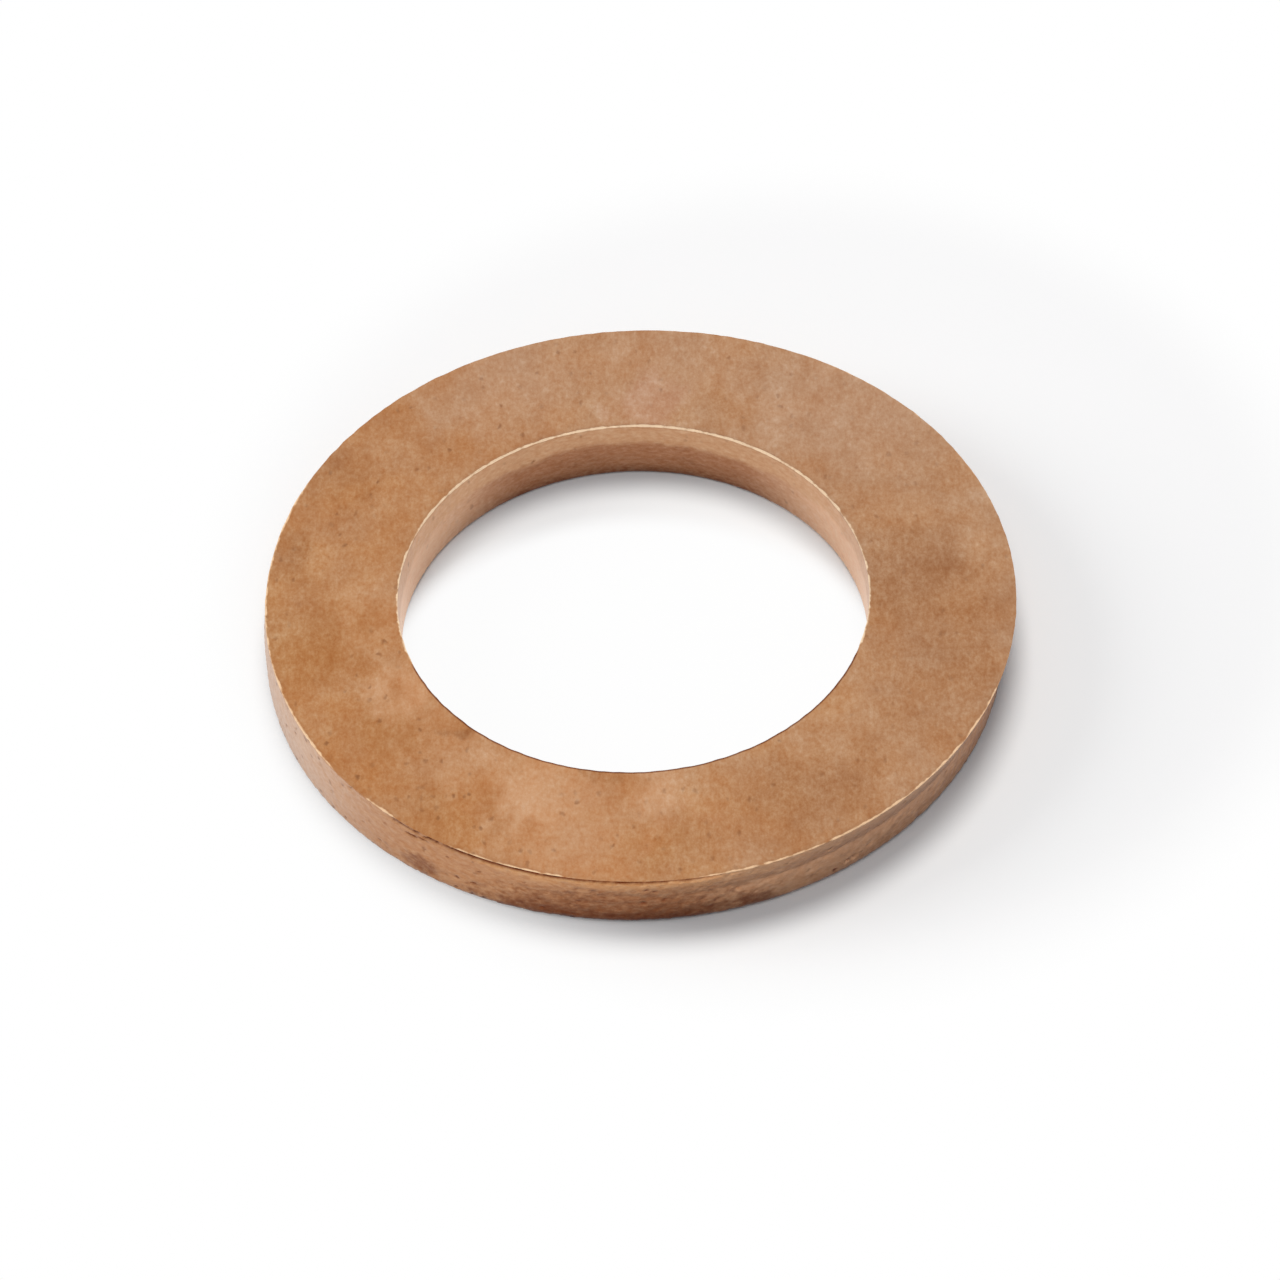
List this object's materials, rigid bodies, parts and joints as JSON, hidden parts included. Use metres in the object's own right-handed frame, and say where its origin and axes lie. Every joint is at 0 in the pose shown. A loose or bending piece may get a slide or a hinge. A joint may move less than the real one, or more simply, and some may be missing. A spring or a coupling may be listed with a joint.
{
  "type": "copper crush washer",
  "caption": "Flat round copper sealing washer, blanked from soft sheet, with a plain central bore; it is crushed between a bolt head and a port face to stop fluid leaking past the bolt.",
  "frame": {"origin": "on the axis of the bore, in the plane of the bottom seal face", "axes": "+Z along the bore axis from the bottom seal face to the top seal face; +X towards the side where the sheared outer edge leans out"},
  "size_m": [0.016, 0.016, 0.0015],
  "materials": {
    "copper": "soft annealed copper sheet, satin and slightly oxidised brown, with brighter sheared edges"
  },
  "bodies": {
    "root": {"washer": "copper"}
  },
  "joints": []
}
